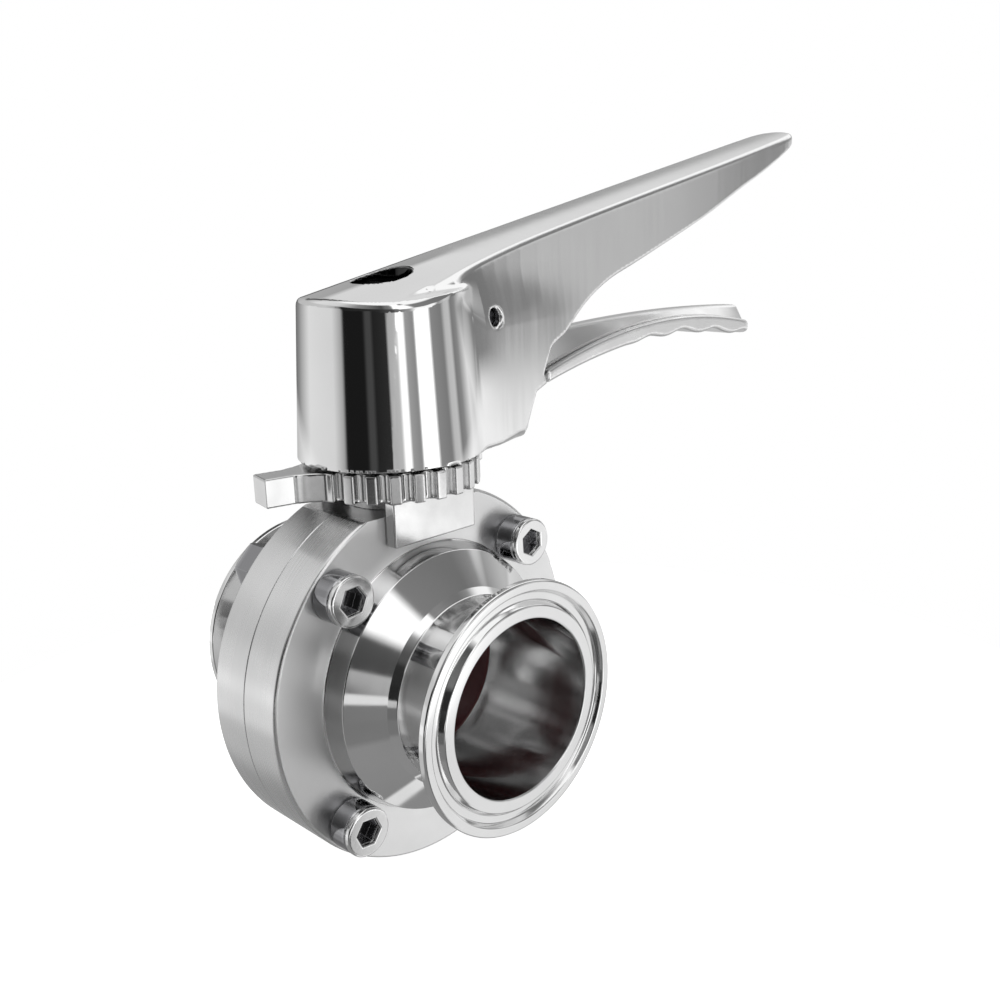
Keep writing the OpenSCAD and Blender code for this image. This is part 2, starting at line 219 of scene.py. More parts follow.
def outline(u, v, points):
    """Distance to a closed flat outline."""
    nearest = np.full(np.broadcast(u, v).shape, np.inf)
    sign = np.ones_like(nearest)
    for (au, av), (bu, bv) in zip(points, points[-1:] + points[:-1]):
        eu, ev = bu - au, bv - av
        wu, wv = u - au, v - av
        share = np.clip((wu * eu + wv * ev) / (eu * eu + ev * ev), 0, 1)
        nearest = np.minimum(nearest, (wu - eu * share) ** 2 + (wv - ev * share) ** 2)
        above, below, left = v >= av, v < bv, eu * wv > ev * wu
        sign = np.where((above & below & left) | ~(above | below | left), -sign, sign)
    return sign * np.sqrt(nearest)


def smooth_curve(points, steps):
    """Points along a curve that runs smoothly through the given points."""
    p = [np.array(q, float) for q in points]
    p = [2 * p[0] - p[1]] + p + [2 * p[-1] - p[-2]]
    made = []
    for a, b, c, d in zip(p, p[1:], p[2:], p[3:]):
        for i in range(steps):
            t = i / steps
            q = b + 0.5 * t * (c - a + t * (2 * a - 5 * b + 4 * c - d + t * (3 * (b - c) + d - a)))
            made.append((float(q[0]), float(q[1])))
    return made + [tuple(map(float, points[-1]))]


def mirrored(half_widths, end=()):
    """Closed plan outline from half widths along x, with the given points at its far end."""
    return [(x, -w) for x, w in half_widths] + list(end) + [(x, w) for x, w in reversed(half_widths)]


def blend_in(x, start, end):
    """Share of the way from start to end."""
    return np.clip((x - start) / (end - start), 0, 1)


def slab(v, low, high):
    """Distance to the layer between two heights."""
    return np.maximum(low - v, v - high)


def hexagon(x, y, half):
    """Distance to a hexagon of the given half width across its flats."""
    facing = (math.pi / 6, math.pi / 2, math.pi * 5 / 6)
    sides = [np.abs(x * math.cos(a) + y * math.sin(a)) for a in facing]
    return np.maximum(np.maximum(sides[0], sides[1]), sides[2]) - half


def thread(r, x, y, z, radius):
    """Distance to a threaded rod along z, from its radius at each point."""
    turn = z / THREAD_PITCH - np.arctan2(y, x) / (2 * math.pi)
    return r - radius + THREAD_DEPTH * np.abs((turn % 1) - 0.5)


# ---------- meshes ----------

def mesh_of(name, points, faces, normals=None):
    """Smooth mesh in metres from points in millimetres and an array of faces."""
    mesh = bpy.data.meshes.new(name)
    points = np.asarray(points, np.float32) * MM
    faces = np.asarray(faces, np.int32)
    mesh.vertices.add(len(points))
    mesh.vertices.foreach_set("co", points.ravel())
    mesh.loops.add(faces.size)
    mesh.loops.foreach_set("vertex_index", faces.ravel())
    mesh.polygons.add(len(faces))
    mesh.polygons.foreach_set("loop_start", np.arange(0, faces.size, faces.shape[1], dtype=np.int32))
    mesh.polygons.foreach_set("use_smooth", np.ones(len(faces), bool))
    mesh.update(calc_edges=True)
    mesh.validate()
    if normals is not None:
        mesh.normals_split_custom_set_from_vertices(np.asarray(normals, np.float32))
    return mesh


def slope(distance, p, reach=0.06):
    """Direction in which the distance grows, at each point."""
    total = np.zeros_like(p)
    for axis in range(3):
        way = np.zeros(3)
        way[axis] = reach
        total[:, axis] = (distance(*(p + way).T) - distance(*(p - way).T)) / (2 * reach)
    return total


def surface(name, distance, lo, hi, step):
    """Mesh of a distance function's surface: one point for each grid cell that it passes through."""
    counts = [int(math.ceil((b - a) / step)) + 5 for a, b in zip(lo, hi)]
    x, y, z = [a - 2 * step + step * np.arange(n) for a, n in zip(lo, counts)]
    field = distance(x[:, None, None], y[None, :, None], z[None, None, :])
    field = np.broadcast_to(field, counts).astype(np.float32)
    cells, spots, quads = [], [], []
    for axis in range(3):
        near = np.moveaxis(field, axis, 0)[:-1]
        far = np.moveaxis(field, axis, 0)[1:]
        where = np.argwhere((near < 0) != (far < 0))
        a, b = near[tuple(where.T)], far[tuple(where.T)]
        where = np.insert(where[:, 1:], axis, where[:, 0], axis=1)
        spot = where.astype(float)
        spot[:, axis] += a / (a - b)
        u, v = (axis + 1) % 3, (axis + 2) % 3
        corners = []
        for du, dv in ((0, 0), (1, 0), (1, 1), (0, 1)):
            cell = where.copy()
            cell[:, u] -= du
            cell[:, v] -= dv
            corners.append(np.ravel_multi_index(cell.T, counts))
        quad = np.stack(corners, 1)
        quad[a >= 0] = quad[a >= 0][:, ::-1]
        cells.append(quad.ravel())
        spots.append(np.repeat(spot, 4, axis=0))
        quads.append(quad)
    cells = np.concatenate(cells)
    spots = np.concatenate(spots)
    used, index = np.unique(cells, return_inverse=True)
    weight = np.bincount(index, minlength=len(used))
    points = np.stack([np.bincount(index, spots[:, k], len(used)) / weight for k in range(3)], 1)
    points = np.array([x[0], y[0], z[0]]) + step * points
    faces = np.searchsorted(used, np.concatenate(quads))
    for _ in range(2):
        d = distance(*points.T)
        g = slope(distance, points)
        size = np.maximum((g ** 2).sum(1), 0.05)
        points -= np.clip(d / size, -step, step)[:, None] * g
    g = slope(distance, points)
    return mesh_of(name, points, faces, g / np.maximum(np.linalg.norm(g, axis=1), 1e-6)[:, None])


def rounded(points, radii, steps=4):
    """Closed outline with its corners rounded; radii holds one radius for each corner."""
    made = []
    count = len(points)
    for i in range(count):
        p = np.array(points[i], float)
        a = np.array(points[i - 1], float) - p
        b = np.array(points[(i + 1) % count], float) - p
        la, lb = np.linalg.norm(a), np.linalg.norm(b)
        a, b = a / la, b / lb
        half = math.acos(max(-1, min(1, float(a @ b)))) / 2
        r = radii[i]
        if r <= 0 or half > 1.55:
            made.append(tuple(p))
            continue
        back = min(r / math.tan(half), 0.45 * la, 0.45 * lb)
        r = back * math.tan(half)
        centre = p + (a + b) / np.linalg.norm(a + b) * (r / math.sin(half))
        start, end = p + a * back - centre, p + b * back - centre
        for k in range(steps + 1):
            t = k / steps
            q = start * (1 - t) + end * t
            made.append(tuple(centre + q / np.linalg.norm(q) * r))
    return made


def lathe(name, profile, axis, turns=192):
    """Closed profile of (radius, height) points spun round the Y or Z axis."""
    angles = np.linspace(0, 2 * math.pi, turns, endpoint=False)
    r = np.array([p[0] for p in profile])
    h = np.array([p[1] for p in profile])
    c, s = np.cos(angles)[:, None] * r, np.sin(angles)[:, None] * r
    level = np.broadcast_to(h, c.shape)
    points = np.stack([c, level, s] if axis == "Y" else [c, s, level], 2).reshape(-1, 3)
    count = len(profile)
    i = np.arange(turns)[:, None] * count
    j = np.arange(count)[None, :]
    k = (j + 1) % count
    after = (i + count) % (turns * count)
    faces = np.stack([i + j, i + k, after + k, after + j], 2).reshape(-1, 4)
    area = sum(a[0] * b[1] - b[0] * a[1] for a, b in zip(profile, profile[1:] + profile[:1]))
    if (area > 0) == (axis == "Z"):
        faces = faces[:, ::-1]
    return mesh_of(name, points, faces)


def applied(piece):
    """New mesh of an object with its modifiers carried out."""
    bpy.context.view_layer.update()
    return bpy.data.meshes.new_from_object(piece.evaluated_get(bpy.context.evaluated_depsgraph_get()))


def drill(mesh, tools=()):
    """Takes simple solids out of a mesh, then sets the shading of its flats and edges."""
    piece = bpy.data.objects.new(mesh.name, mesh)
    SCENE.collection.objects.link(piece)
    helpers = []
    for tool in tools:
        helper = bpy.data.objects.new("tool", tool)
        SCENE.collection.objects.link(helper)
        change = piece.modifiers.new("cut", "BOOLEAN")
        change.operation = "DIFFERENCE"
        change.solver = "EXACT"
        change.object = helper
        helpers.append(helper)
    piece.data = applied(piece)
    piece.data.set_sharp_from_angle(angle=SHARP_ANGLE)
    piece.modifiers.clear()
    even = piece.modifiers.new("even", "WEIGHTED_NORMAL")
    even.keep_sharp = True
    even.weight = 80
    made = applied(piece)
    for thing in (piece, *helpers):
        bpy.data.objects.remove(thing)
    return made


def rod(r, low, high, axis="Z", at=(0, 0, 0), sides=64):
    """Plain rod used only as a cutting tool."""
    mesh = lathe("tool", [(0.001, low), (r, low), (r, high), (0.001, high)], axis, sides)
    mesh.transform(Matrix.Translation(Vector(at) * MM))
    return mesh


def block(lo, hi):
    """Plain block used only as a cutting tool."""
    mesh = bpy.data.meshes.new("tool")
    spans = zip(lo, hi)
    corners = [tuple(c * MM for c in corner) for corner in itertools.product(*spans)]
    sides = [(0, 1, 3, 2), (4, 6, 7, 5), (0, 4, 5, 1), (2, 3, 7, 6), (0, 2, 6, 4), (1, 5, 7, 3)]
    mesh.from_pydata(corners, [], sides)
    return mesh


# ---------- materials ----------

def node_adder(tree):
    """Function that adds a node to the tree, with its inputs linked or set."""
    def add(kind, inputs=(), **settings):
        node = tree.nodes.new(kind)
        for key, value in settings.items():
            setattr(node, key, value)
        for key, value in dict(inputs).items():
            if isinstance(value, bpy.types.NodeSocket):
                tree.links.new(value, node.inputs[key])
            else:
                node.inputs[key].default_value = value
        return node

    return add


def material(name, metallic=0):
    """New node material, with its shader and a function that adds a node."""
    made = bpy.data.materials.new(name)
    made.use_nodes = True
    shader = made.node_tree.nodes["Principled BSDF"]
    shader.inputs["Metallic"].default_value = metallic
    return made, shader, node_adder(made.node_tree)


def connect(made, shader, sockets):
    """Links node outputs to the shader's inputs."""
    for name, output in sockets.items():
        made.node_tree.links.new(output, shader.inputs[name])


def ramp(add, factor, stops):
    """Colour ramp node through grey or coloured stops of (place, value)."""
    node = add("ShaderNodeValToRGB", {"Fac": factor})
    elements = node.color_ramp.elements
    while len(elements) > 1:
        elements.remove(elements[-1])
    for i, (place, value) in enumerate(stops):
        element = elements[0] if i == 0 else elements.new(place)
        element.position = place
        colour = value if isinstance(value, tuple) else (value,) * 3
        element.color = (*colour, 1)
    return node


def spread_out(add, noise, low, high):
    """Takes the middle of a noise's values to the range from low to high."""
    return add("ShaderNodeMapRange", {0: noise.outputs["Fac"], 1: 0.3, 2: 0.7, 3: low, 4: high})


def mottled(add, noise, colour, darkest):
    """Colour that falls to the given share of itself where the noise is high."""
    return ramp(add, noise.outputs["Fac"], [(0.3, colour), (0.7, tuple(darkest * c for c in colour))])


def turned_steel(name, colour, finish, painted_shades, spread, anisotropic, ring_depth):
    """Steel turned on a lathe round Y, with fine rings and slight stains.

    finish gives the roughness at radii in mm; the table after it gives painted shade, the base colour's
    brightness at radii in mm.
    """
    made, shader, add = material(name, metallic=1)
    place = add("ShaderNodeTexCoord").outputs["Object"]
    part = add("ShaderNodeSeparateXYZ", {0: place})
    flat = add("ShaderNodeCombineXYZ", {0: part.outputs[0], 1: part.outputs[2]})
    radius = add("ShaderNodeVectorMath", {0: flat.outputs[0]}, operation="LENGTH")
    rings = add("ShaderNodeCombineXYZ", {0: radius.outputs["Value"], 1: part.outputs[1]})
    fine = add("ShaderNodeTexNoise", {"Vector": rings.outputs[0], "Scale": 2600, "Detail": 2})
    broad = add("ShaderNodeTexNoise", {"Vector": rings.outputs[0], "Scale": 420, "Detail": 3})
    stain = add("ShaderNodeTexNoise", {"Vector": place, "Scale": 70, "Detail": 4})
    both = add("ShaderNodeMix", {"Factor": 0.5, 2: fine.outputs["Fac"], 3: broad.outputs["Fac"]})
    widest = finish[-1][0] * MM
    out = add("ShaderNodeMath", {0: radius.outputs["Value"], 1: 1 / widest}, operation="MULTIPLY")
    base = ramp(add, out.outputs[0], [(r * MM / widest, v) for r, v in finish])
    gloss = add("ShaderNodeMapRange", {0: both.outputs[0], 1: 0.35, 2: 0.65, 3: -spread, 4: spread})
    worn = add("ShaderNodeMapRange", {0: stain.outputs["Fac"], 1: 0.3, 2: 0.75, 3: 0.0, 4: 0.03})
    uneven = add("ShaderNodeMath", {0: gloss.outputs[0], 1: worn.outputs[0]}, operation="ADD")
    total = add("ShaderNodeMath", {0: base.outputs[0], 1: uneven.outputs[0]}, operation="ADD")
    # Painted shade: the base colour is darkened at the radii that the table gives
    painted_shade = ramp(add, out.outputs[0], [(r * MM / widest, v) for r, v in painted_shades])
    mottle = mottled(add, stain, colour, 0.93)
    tint = add("ShaderNodeMix", {0: 1.0, 6: mottle.outputs[0], 7: painted_shade.outputs[0]},
               data_type="RGBA", blend_type="MULTIPLY")
    bump = add("ShaderNodeBump", {"Strength": 0.15, "Distance": ring_depth, "Height": both.outputs[0]})
    tangent = add("ShaderNodeTangent", direction_type="RADIAL", axis="Y")
    connect(made, shader, {"Roughness": total.outputs[0], "Base Color": tint.outputs[2],
                           "Normal": bump.outputs[0], "Tangent": tangent.outputs[0]})
    shader.inputs["Anisotropic"].default_value = anisotropic
    shader.inputs["Anisotropic Rotation"].default_value = 0.25
    return made


def cast_steel(name, colour, polished, satin, satin_from, satin_to, painted_shade_r):
    """Polished casting: mirror finish near the stem that turns into fine satin sanding along the arm.

    Painted shade makes the bores round the stem near black inside.
    """
    made, shader, add = material(name, metallic=1)
    place = add("ShaderNodeTexCoord").outputs["Object"]
    part = add("ShaderNodeSeparateXYZ", {0: place})
    edge = add("ShaderNodeTexNoise", {"Vector": place, "Scale": 60, "Detail": 3})
    ragged = add("ShaderNodeMath", {0: edge.outputs["Fac"], 1: 0.012, 2: part.outputs[0]},
                 operation="MULTIPLY_ADD")
    sanded = add("ShaderNodeMapRange", {
        0: ragged.outputs[0], 1: satin_from * MM, 2: satin_to * MM, 3: 0.0, 4: 1.0})
    lean = add("ShaderNodeMapping", {
        "Vector": place, "Rotation": (0, math.radians(28), 0), "Scale": (1, 0.3, 0.05)})
    streaks = add("ShaderNodeTexNoise", {"Vector": lean.outputs[0], "Scale": 700, "Detail": 5})
    clouds = add("ShaderNodeTexNoise", {"Vector": place, "Scale": 45, "Detail": 3})
    mirror = spread_out(add, clouds, polished, polished + 0.04)
    matt = spread_out(add, streaks, satin - 0.03, satin + 0.03)
    rough = add("ShaderNodeMix", {0: sanded.outputs[0], 2: mirror.outputs[0], 3: matt.outputs[0]})
    mottle = mottled(add, clouds, colour, 0.95)
    flat = add("ShaderNodeCombineXYZ", {0: part.outputs[0], 1: part.outputs[1]})
    radius = add("ShaderNodeVectorMath", {0: flat.outputs[0]}, operation="LENGTH")
    # Painted shade: the base colour falls to 0.05 inside the bores round the stem
    bore = add("ShaderNodeMapRange", {
        0: radius.outputs["Value"], 1: painted_shade_r * MM, 2: (painted_shade_r + 0.25) * MM, 3: 0.05, 4: 1.0})
    tint = add("ShaderNodeMix", {0: 1.0, 6: mottle.outputs[0], 7: bore.outputs[0]}, data_type="RGBA",
               blend_type="MULTIPLY")
    depth = add("ShaderNodeMath", {0: sanded.outputs[0], 1: streaks.outputs["Fac"]}, operation="MULTIPLY")
    bump = add("ShaderNodeBump", {"Strength": 0.06, "Distance": 0.00001, "Height": depth.outputs[0]})
    connect(made, shader, {
        "Roughness": rough.outputs[0], "Base Color": tint.outputs[2], "Normal": bump.outputs[0]})
    return made


def plain_steel(name, colour, roughness, grain_scale, grain_depth):
    """Machined or tumbled steel with a fine grain and slightly uneven gloss."""
    made, shader, add = material(name, metallic=1)
    place = add("ShaderNodeTexCoord").outputs["Object"]
    grain = add("ShaderNodeTexNoise", {"Vector": place, "Scale": grain_scale, "Detail": 3})
    clouds = add("ShaderNodeTexNoise", {"Vector": place, "Scale": 120, "Detail": 2})
    rough = spread_out(add, clouds, roughness - 0.04, roughness + 0.05)
    tint = mottled(add, clouds, colour, 0.93)
    bump = add("ShaderNodeBump", {"Strength": 0.3, "Distance": grain_depth, "Height": grain.outputs["Fac"]})
    connect(made, shader, {
        "Roughness": rough.outputs[0], "Base Color": tint.outputs[0], "Normal": bump.outputs[0]})
    return made


def screw_steel(name, bright, shade_colour, roughness):
    """Screw along its own z with a fine grain: painted shade makes its sides and shank darker than its head's
    face and rim.
    """
    made, shader, add = material(name, metallic=1)
    place = add("ShaderNodeTexCoord").outputs["Object"]
    part = add("ShaderNodeSeparateXYZ", {0: place})
    grain = add("ShaderNodeTexNoise", {"Vector": place, "Scale": 1100, "Detail": 3})
    clouds = add("ShaderNodeTexNoise", {"Vector": place, "Scale": 260, "Detail": 2})
    # Painted shade: the base colour darkens from the head's face and rim down its sides and along the shank
    height = add("ShaderNodeMapRange", {0: part.outputs[2], 1: 0.0035, 2: 0.0054, 3: 0.0, 4: 1.0})
    tint = ramp(add, height.outputs[0], [(0.0, shade_colour), (0.45, tuple(1.3 * c for c in shade_colour)), (0.8, bright)])
    rough = spread_out(add, clouds, roughness - 0.03, roughness + 0.06)
    bump = add("ShaderNodeBump", {"Strength": 0.25, "Distance": 0.00001, "Height": grain.outputs["Fac"]})
    connect(made, shader, {
        "Roughness": rough.outputs[0], "Base Color": tint.outputs[0], "Normal": bump.outputs[0]})
    return made


def moulded(name, colour, roughness, grain_depth):
    """Moulded rubber or plastic: mottled colour and a fine matt skin."""
    made, shader, add = material(name)
    place = add("ShaderNodeTexCoord").outputs["Object"]
    skin = add("ShaderNodeTexNoise", {"Vector": place, "Scale": 1500, "Detail": 3})
    clouds = add("ShaderNodeTexNoise", {"Vector": place, "Scale": 90, "Detail": 3})
    tint = mottled(add, clouds, colour, 0.8)
    rough = spread_out(add, skin, roughness - 0.06, roughness + 0.06)
    bump = add("ShaderNodeBump", {"Strength": 0.3, "Distance": grain_depth, "Height": skin.outputs["Fac"]})
    connect(made, shader, {
        "Roughness": rough.outputs[0], "Base Color": tint.outputs[0], "Normal": bump.outputs[0]})
    return made


STEEL = (0.80, 0.80, 0.80)
# Roughness and brightness at radii from the pipe axis: polished bore, neck and cone, then turned flange
# face and satin rim
BODY_FINISH = [(17.9, 0.13), (18.3, 0.07), (27.9, 0.07), (28.3, 0.3), (38, 0.3), (38.7, 0.26), (40, 0.26)]
# Painted shade: the base colour is darker inside the bore
BODY_PAINTED_SHADE = [(17.9, 0.85), (18.3, 1), (40, 1)]
DISC_FINISH = [(0, 0.2), (20, 0.2)]
DISC_SHADES = [(0, 1), (20, 1)]
LOOKS = {
    "body_steel": turned_steel("body_steel", STEEL, BODY_FINISH, BODY_PAINTED_SHADE, 0.02, 0.8, 0.000004),
    "plate_steel": plain_steel("plate_steel", (0.72, 0.72, 0.72), 0.2, 900, 0.00002),
    "disc_steel": turned_steel("disc_steel", STEEL, DISC_FINISH, DISC_SHADES, 0.02, 0.6, 0.000003),
    "handle_steel": cast_steel("handle_steel", STEEL, 0.025, 0.2, 16, 26, COUNTERBORE_R + RUNNING_GAP),
    "trigger_steel": plain_steel("trigger_steel", (0.9, 0.9, 0.9), 0.3, 1400, 0.00001),
    "fastener_steel": screw_steel("fastener_steel", (0.78, 0.78, 0.78), (0.30, 0.30, 0.31), 0.1),
    # Painted shade: near black, standing in for the dark reflection on the handle screw's head and the shade
    # on the pivot pin sunk in its hole
    "painted_shade_steel": plain_steel("painted_shade_steel", (0.06, 0.06, 0.065), 0.2, 1200, 0.00001),
    "spring_steel": plain_steel("spring_steel", (0.55, 0.55, 0.56), 0.25, 1500, 0.00001),
    "silicone": moulded("silicone", (0.10, 0.010, 0.012), 0.35, 0.00001),
    "bush_plastic": moulded("bush_plastic", (0.82, 0.80, 0.74), 0.45, 0.00001),
}
BODY_OF = {n: b for b, members in frame["record"]["behaviour"]["bodies"].items() for n in members}


def place(node, mesh, look, slot=None):
    """Puts a finished mesh in the scene instead of its CAD node.

    slot is the record's material slot, where it isn't named as the look is; it is not used.
    """
    piece = bpy.data.objects.new(node + "_shape", mesh)
    SCENE.collection.objects.link(piece)
    mesh.materials.clear()
    mesh.materials.append(LOOKS[look])
    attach(piece, BODY_OF[node])
    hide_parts(node)
    return piece


# ---------- body halves, seat and bushes ----------

def half_profile():
    """Radius against distance from the joint, and the rounding of each corner."""
    groove_y = HALF_L - GASKET_GROOVE_DEPTH
    return zip(*[
        ((BORE_R, SEAT_HALF_W), 0.3),
        ((BORE_R, HALF_L), 0.35),
        ((20.3, HALF_L), 0.5),
        ((21.2, groove_y), 0.4),
        ((22.7, groove_y), 0.4),
        ((23.3, HALF_L), 0.35),
        ((FERRULE_R, HALF_L), 0.5),
        ((FERRULE_R, HALF_L - FERRULE_RIM_T), 0.4),
        ((NECK_R, HALF_L - FERRULE_BACK), 2.2),
        ((NECK_R, 21), 0.6),
        ((20.4, 19.6), 0.4),
        ((27, FLANGE_T + BOSS_H), 0.45),
        ((BOSS_R, FLANGE_T), 0.5),
        ((FLANGE_R, FLANGE_T), 0.7),
        ((FLANGE_R, 0.0), 0.25),
        ((SEAT_R, 0.0), 0.1),
        ((SEAT_R, SEAT_HALF_W), 0.2),
    ])


def bolt_matrix(i):
    """Turn and shift from the pipe axis to one of the four bolts, in metres."""
    around = Matrix.Rotation(math.radians(45 + 90 * i), 4, "Y")
    return around @ Matrix.Translation((0, 0, BOLT_CIRCLE_R * MM))


def body_half(side):
    """Half of the body: -1 for the front one, 1 for the rear one."""
    points, radii = half_profile()
    # Mirrored for the front half
    profile = [(r, side * h) for r, h in rounded(list(points), list(radii))]
    tools = [block((-50, -20, FLAT_Z), (50, 20, 60)), rod(BUSH_R, 5, 60), rod(BUSH_R, low_bush_lo.z, -5)]
    for i in range(4):
        hole = rod(SCREW_HOLE_R, -12, 12, "Y")
        hole.transform(bolt_matrix(i))
        tools.append(hole)
    return drill(lathe("body_half", profile, "Y"), tools)


def seat():
    """Seat ring, open where the stem and the trunnion go through it."""
    w = SEAT_HALF_W
    points = [(SEAT_BORE_R, -w), (SEAT_BORE_R, w), (SEAT_R, w), (SEAT_R, -w)]
    ring = lathe("seat", rounded(points, [0.3, 0.3, 0.2, 0.2]), "Y")
    return drill(ring, [rod(STEM_R, 5, 30), rod(TRUNNION_R, -30, -5)])


def bush(low, high, bore):
    """Plain bush between two heights on the stem's axis."""
    points = [(bore, low), (BUSH_R, low), (BUSH_R, high), (bore, high)]
    return drill(lathe("bush", rounded(points, [0.3] * 4), "Z", 96))


place("front_body", body_half(-1), "body_steel")
place("rear_body", body_half(1), "body_steel")
place("seat_ring", seat(), "silicone")
place("upper_bush", bush(bush_lo.z, bush_hi.z, STEM_R + RUNNING_GAP), "bush_plastic")
place("lower_bush", bush(low_bush_lo.z, low_bush_hi.z, TRUNNION_R + RUNNING_GAP), "bush_plastic")


# ---------- fasteners ----------

def cap_screw(length):
    """Distance to a socket head cap screw along -z, with the underside of its head at zero.

    The head has a fine line round its rim and a coned mouth to its socket.
    """
    def distance(x, y, z):
        r = np.hypot(x, y)
        head = meet(r - CAP_R, slab(z, 0, CAP_H), 0.45)
        rim_line = np.hypot(r - CAP_R, z - CAP_H + 1.3) - 0.22
        head = cut(head, rim_line, 0.08)
        socket = np.maximum(hexagon(x, y, KEY_HALF), CAP_H - KEY_DEPTH - z)
        head = cut(head, socket, 0.3)
        mouth = (r + z - CAP_H - 2.15) * 0.7
        head = cut(head, np.maximum(mouth, CAP_H - 1 - z), 0.1)
        shank = np.where(z < 3.5 - length * 0.3, thread(r, x, y, z, SCREW_R), r - SCREW_R)
        shank = meet(shank * 0.8, slab(z, -length, 1), 0.4)
        return np.minimum(head, shank)
    return distance


def screw_mesh(name, length, step=0.2):
    """Mesh of a cap screw with a shank of the given length."""
    return surface(name, cap_screw(length), (-CAP_R, -CAP_R, -length), (CAP_R, CAP_R, CAP_H), step)


def nut_mesh():
    """Hex nut along z, with its corners turned off and its thread cut."""
    def distance(x, y, z):
        r = np.hypot(x, y)
        body = meet(hexagon(x, y, NUT_HALF), slab(z, 0, NUT_H), 0.12)
        corner = NUT_HALF + 0.25
        body = np.maximum(body, (r - corner - np.minimum(z, NUT_H - z) * 1.7) * 0.5)
        mouth = r - SCREW_R - 0.4 + np.minimum(z, NUT_H - z)
        hole = np.minimum(thread(r, x, y, z, SCREW_R) * 0.8, mouth * 0.7)
        return cut(body, hole, 0.05)
    return surface("nut", distance, (-6, -6, 0), (6, 6, NUT_H), 0.2)


bolt = screw_mesh("body_bolt", BOLT_L)
nut = nut_mesh()
for i in range(4):
    spot = bolt_matrix(i)
    turn = Matrix.Rotation(math.radians(17 + 41 * i), 4, "Z")
    to_front = Matrix.Translation((0, -FLANGE_T * MM, 0)) @ Matrix.Rotation(math.pi / 2, 4, "X")
    to_rear = Matrix.Translation((0, FLANGE_T * MM, 0)) @ Matrix.Rotation(-math.pi / 2, 4, "X")
    place(f"body_bolt_{i + 1}", bolt, "fastener_steel").matrix_world = spot @ (to_front @ turn)
    place(f"body_nut_{i + 1}", nut, "fastener_steel").matrix_world = spot @ to_rear

handle_screw = screw_mesh("handle_screw", HANDLE_SCREW_L)
handle_screw.transform(Matrix.Translation((0, 0, washer_hi.z * MM)))
# Painted shade: the screw head is near black for the dark reflection on it
place("handle_screw", handle_screw, "painted_shade_steel", "fastener_steel")


def washer_distance(x, y, z):
    """Spring washer with a slanting split."""
    r = np.hypot(x, y)
    ring = cut(meet(r - washer_hi.x, slab(z, washer_lo.z, washer_hi.z), 0.25), r - WASHER_BORE_R, 0.25)
    gap = np.maximum(np.abs(y - 0.6 * (z - washer_lo.z) + 0.5) - 0.6, -x)
    return cut(ring, gap, 0.12)


washer = surface("washer", washer_distance, washer_lo, washer_hi, step=0.15)
place("screw_washer", washer, "spring_steel")


# ---------- notch plate ----------

def plate_distance(x, y, z):
    """Toothed ring with its ear, its collar and the two lugs that straddle the flanges."""
    angle = np.arctan2(y, x)
    r = np.hypot(x, y)
    pitch = 2 * math.pi / NOTCHES
    near = (angle + pitch / 2) % pitch - pitch / 2
    along, across = r * np.cos(near), np.abs(r * np.sin(near))
    reach = np.maximum(PLATE_R - NOTCH_DEPTH + NOTCH_R - along, 0)
    notch = np.hypot(across, reach) - NOTCH_R
    teeth = cut(r - PLATE_R, notch, 0.4)
    c, s = math.cos(EAR_ANGLE), math.sin(EAR_ANGLE)
    out, side = x * c + y * s, np.abs(y * c - x * s)
    blade = meet(np.maximum(side - EAR_HALF_W, out - EAR_L), 10 - out, 0.2)
    taper = (side - EAR_ROOT_HALF_W + (out - EAR_ROOT_START) * 0.54) * 0.88
    root = np.maximum(taper, slab(out, EAR_ROOT_START, EAR_ROOT_END))
    ear = join(blade, root, 1.0)
    ring = meet(join(teeth, ear, 0.3), slab(z, PLATE_Z, PLATE_TOP_Z), 0.35)
    collar = np.maximum(r - COLLAR_R, slab(z, FLAT_Z, PLATE_Z + 1))
    lug = meet(np.abs(x) - LUG_HALF_X, slab(np.abs(y), FLANGE_T, FLANGE_T + LUG_T), 0.35)
    lug = meet(lug, slab(z, LUG_FOOT_Z, PLATE_Z + 0.4), 0.35)
    whole = join(np.minimum(collar, lug), ring, 0.4)
    return cut(whole, r - STEM_R - STEM_GAP, 0.3)


place("notch_plate", surface("notch_plate", plate_distance, plate_lo, plate_hi, step=0.28), "plate_steel")


# ---------- disc and stem ----------

def disc_distance(x, y, z):
    """Disc with its two bosses, the stem with its square end, and the trunnion."""
    ball = np.sqrt(x * x + y * y + z * z) - DISC_R
    plate = np.abs(y) - DISC_HALF_T
    r = np.hypot(x, y)
    boss = meet(r - DISC_BOSS_R, DISC_BOSS_Z - np.abs(z), 1.5)
    disc = meet(join(plate, boss, 1.5), ball, 0.25)
    stem = meet(r - STEM_R, slab(z, DISC_BOSS_Z + 2, SQUARE_Z), 0.3)
    square = meet(meet(np.abs(x) - SQUARE_HALF_W, np.abs(y) - SQUARE_HALF_W, 0.3), r - STEM_R, 0.2)
    square = meet(square, slab(z, SQUARE_Z - 2, disc_hi.z), 0.4)
    trunnion = meet(r - TRUNNION_R, slab(z, disc_lo.z, -DISC_BOSS_Z - 2), 0.4)
    whole = np.minimum(np.minimum(disc, stem), np.minimum(square, trunnion))
    return cut(whole, np.maximum(r - SCREW_R, STEM_TAP_Z - z), 0.3)


place("valve_disc", surface("valve_disc", disc_distance, disc_lo, disc_hi, step=0.45), "disc_steel")


# ---------- handle ----------

